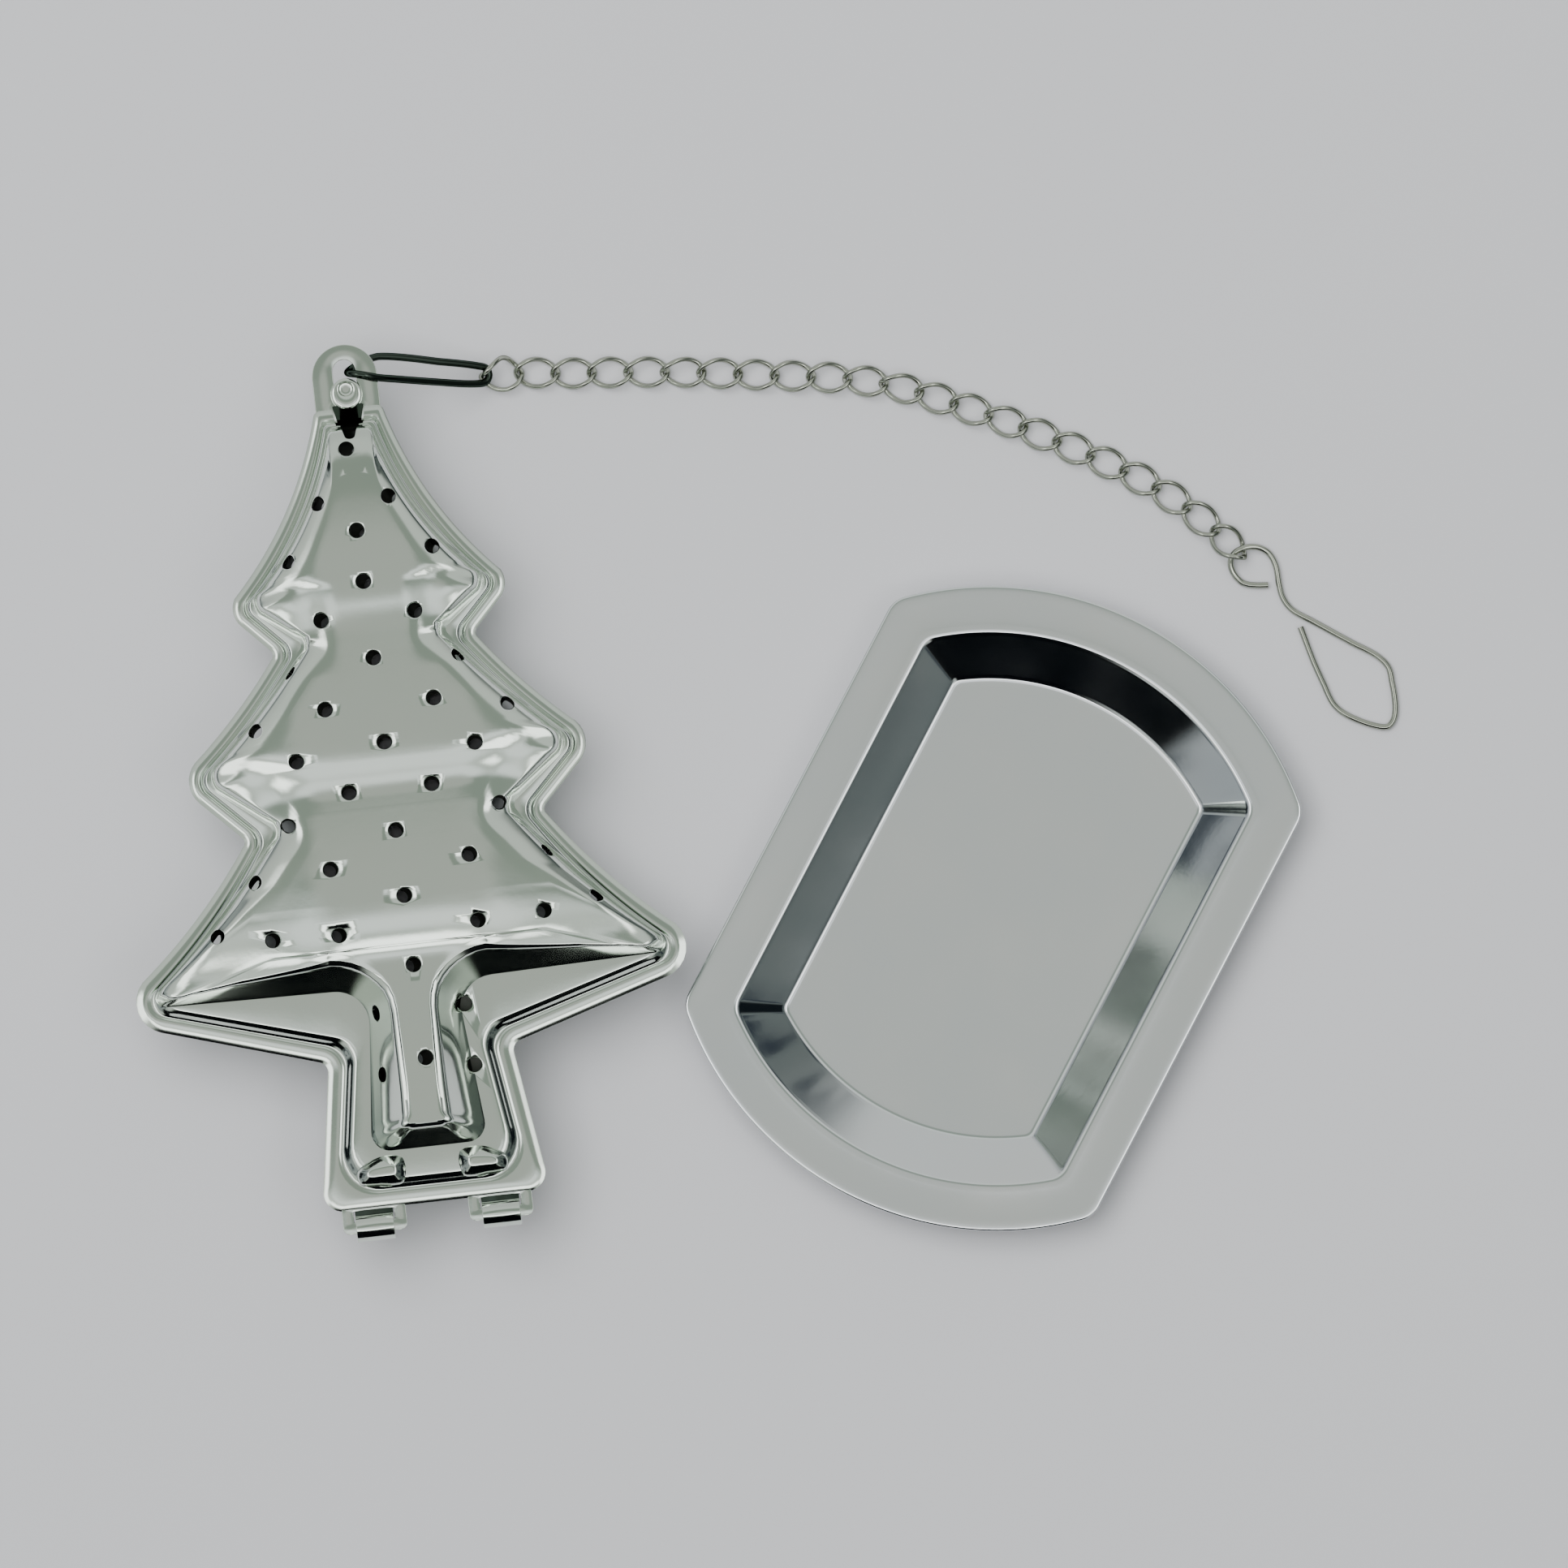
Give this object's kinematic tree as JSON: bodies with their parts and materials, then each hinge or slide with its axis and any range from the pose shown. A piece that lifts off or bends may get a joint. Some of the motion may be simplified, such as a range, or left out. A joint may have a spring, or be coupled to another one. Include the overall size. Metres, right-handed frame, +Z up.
{
  "type": "tea infuser with drip tray",
  "caption": "Fir-tree-shaped perforated stainless tea infuser, hinged in two shells, on a curb chain with a wire hook, with its flat-rimmed drip tray.",
  "frame": {"origin": "middle of the drip tray's underside, on the table", "axes": "+Z up from the table; +X from the infuser towards the tray; +Y away from the viewer, from the trunk hinge towards the chain"},
  "size_m": [0.1295, 0.092, 0.018],
  "materials": {
    "shell_steel": "mirror-polished pressed stainless sheet",
    "tray_steel": "mirror-polished pressed stainless sheet, slightly cooler",
    "wire_steel": "bright drawn stainless wire"
  },
  "bodies": {
    "infuser": {"lower_shell": "shell_steel"},
    "lid": {"upper_shell": "shell_steel"},
    "bail": {"wire_bail": "wire_steel"},
    "link_01": {"chain_link_01": "wire_steel"},
    "link_02": {"chain_link_02": "wire_steel"},
    "link_03": {"chain_link_03": "wire_steel"},
    "link_04": {"chain_link_04": "wire_steel"},
    "link_05": {"chain_link_05": "wire_steel"},
    "link_06": {"chain_link_06": "wire_steel"},
    "link_07": {"chain_link_07": "wire_steel"},
    "link_08": {"chain_link_08": "wire_steel"},
    "link_09": {"chain_link_09": "wire_steel"},
    "link_10": {"chain_link_10": "wire_steel"},
    "link_11": {"chain_link_11": "wire_steel"},
    "link_12": {"chain_link_12": "wire_steel"},
    "link_13": {"chain_link_13": "wire_steel"},
    "link_14": {"chain_link_14": "wire_steel"},
    "link_15": {"chain_link_15": "wire_steel"},
    "link_16": {"chain_link_16": "wire_steel"},
    "link_17": {"chain_link_17": "wire_steel"},
    "link_18": {"chain_link_18": "wire_steel"},
    "link_19": {"chain_link_19": "wire_steel"},
    "link_20": {"chain_link_20": "wire_steel"},
    "link_21": {"chain_link_21": "wire_steel"},
    "link_22": {"chain_link_22": "wire_steel"},
    "hook": {"hanging_hook": "wire_steel"},
    "tray": {"drip_tray": "tray_steel"}
  },
  "joints": [
    {"name": "lid_hinge", "type": "hinge", "parent": "infuser", "child": "lid", "pos_m": [-0.05688, -0.03193, 0.00937], "axis": [0.9938, 0.1115, 0], "range_deg": [0, 150]},
    {"name": "bail_hinge", "type": "hinge", "parent": "infuser", "child": "bail", "pos_m": [-0.0643, 0.05438, 0.00863], "axis": [0, 1, 0], "range_deg": [-45, 3]},
    {"name": "link_01_hinge", "type": "hinge", "parent": "bail", "child": "link_01", "pos_m": [-0.05223, 0.05482, 0.00201], "axis": [-0.1045, 0.9945, 0], "range_deg": [-20, 20]},
    {"name": "link_02_hinge", "type": "hinge", "parent": "link_01", "child": "link_02", "pos_m": [-0.04879, 0.05518, 0.00075], "axis": [-0.0349, -0.9994, 0], "range_deg": [-25, 25]},
    {"name": "link_03_hinge", "type": "hinge", "parent": "link_02", "child": "link_03", "pos_m": [-0.04503, 0.05505, 0.00077], "axis": [-0.0175, 0.9998, 0], "range_deg": [-25, 25]},
    {"name": "link_04_hinge", "type": "hinge", "parent": "link_03", "child": "link_04", "pos_m": [-0.04127, 0.05512, 0.00082], "axis": [0.0175, -0.9998, 0], "range_deg": [-25, 25]},
    {"name": "link_05_hinge", "type": "hinge", "parent": "link_04", "child": "link_05", "pos_m": [-0.03751, 0.05518, 0.00091], "axis": [0, 1, 0], "range_deg": [-25, 25]},
    {"name": "link_06_hinge", "type": "hinge", "parent": "link_05", "child": "link_06", "pos_m": [-0.03375, 0.05518, 0.00099], "axis": [-0.0175, -0.9998, 0], "range_deg": [-25, 25]},
    {"name": "link_07_hinge", "type": "hinge", "parent": "link_06", "child": "link_07", "pos_m": [-0.02999, 0.05512, 0.00099], "axis": [0.0349, 0.9994, 0], "range_deg": [-25, 25]},
    {"name": "link_08_hinge", "type": "hinge", "parent": "link_07", "child": "link_08", "pos_m": [-0.02623, 0.05499, 0.00091], "axis": [-0.0349, -0.9994, 0], "range_deg": [-25, 25]},
    {"name": "link_09_hinge", "type": "hinge", "parent": "link_08", "child": "link_09", "pos_m": [-0.02247, 0.05486, 0.00085], "axis": [0.0349, 0.9994, 0], "range_deg": [-25, 25]},
    {"name": "link_10_hinge", "type": "hinge", "parent": "link_09", "child": "link_10", "pos_m": [-0.01872, 0.05472, 0.00088], "axis": [-0.0523, -0.9986, 0], "range_deg": [-25, 25]},
    {"name": "link_11_hinge", "type": "hinge", "parent": "link_10", "child": "link_11", "pos_m": [-0.01496, 0.05453, 0.00096], "axis": [0.1392, 0.9903, 0], "range_deg": [-25, 25]},
    {"name": "link_12_hinge", "type": "hinge", "parent": "link_11", "child": "link_12", "pos_m": [-0.01124, 0.054, 0.00105], "axis": [-0.2419, -0.9703, 0], "range_deg": [-25, 25]},
    {"name": "link_13_hinge", "type": "hinge", "parent": "link_12", "child": "link_13", "pos_m": [-0.00759, 0.05309, 0.00105], "axis": [0.309, 0.9511, 0], "range_deg": [-25, 25]},
    {"name": "link_14_hinge", "type": "hinge", "parent": "link_13", "child": "link_14", "pos_m": [-0.00402, 0.05193, 0.00096], "axis": [-0.309, -0.9511, 0], "range_deg": [-25, 25]},
    {"name": "link_15_hinge", "type": "hinge", "parent": "link_14", "child": "link_15", "pos_m": [-0.00044, 0.05077, 0.00095], "axis": [0.342, 0.9397, 0], "range_deg": [-25, 25]},
    {"name": "link_16_hinge", "type": "hinge", "parent": "link_15", "child": "link_16", "pos_m": [0.00309, 0.04948, 0.00093], "axis": [-0.3746, -0.9272, 0], "range_deg": [-25, 25]},
    {"name": "link_17_hinge", "type": "hinge", "parent": "link_16", "child": "link_17", "pos_m": [0.00658, 0.04807, 0.00084], "axis": [0.3907, 0.9205, 0], "range_deg": [-25, 25]},
    {"name": "link_18_hinge", "type": "hinge", "parent": "link_17", "child": "link_18", "pos_m": [0.01004, 0.04661, 0.00078], "axis": [-0.4067, -0.9135, 0], "range_deg": [-25, 25]},
    {"name": "link_19_hinge", "type": "hinge", "parent": "link_18", "child": "link_19", "pos_m": [0.01348, 0.04508, 0.00081], "axis": [0.4695, 0.8829, 0], "range_deg": [-25, 25]},
    {"name": "link_20_hinge", "type": "hinge", "parent": "link_19", "child": "link_20", "pos_m": [0.0168, 0.04331, 0.00089], "axis": [-0.5446, -0.8387, 0], "range_deg": [-25, 25]},
    {"name": "link_21_hinge", "type": "hinge", "parent": "link_20", "child": "link_21", "pos_m": [0.01995, 0.04126, 0.00097], "axis": [0.6293, 0.7771, 0], "range_deg": [-25, 25]},
    {"name": "link_22_hinge", "type": "hinge", "parent": "link_21", "child": "link_22", "pos_m": [0.02287, 0.0389, 0.00106], "axis": [-0.682, -0.7314, 0], "range_deg": [-25, 25]},
    {"name": "hook_hinge", "type": "hinge", "parent": "link_22", "child": "hook", "pos_m": [0.0255, 0.03645, 0.0011], "axis": [0.682, 0.7314, 0], "range_deg": [-20, 20]},
    {"name": "tray_lift", "type": "slide", "parent": "infuser", "child": "tray", "axis": [0, 0, 1], "range_m": [0, 0.05]}
  ]
}
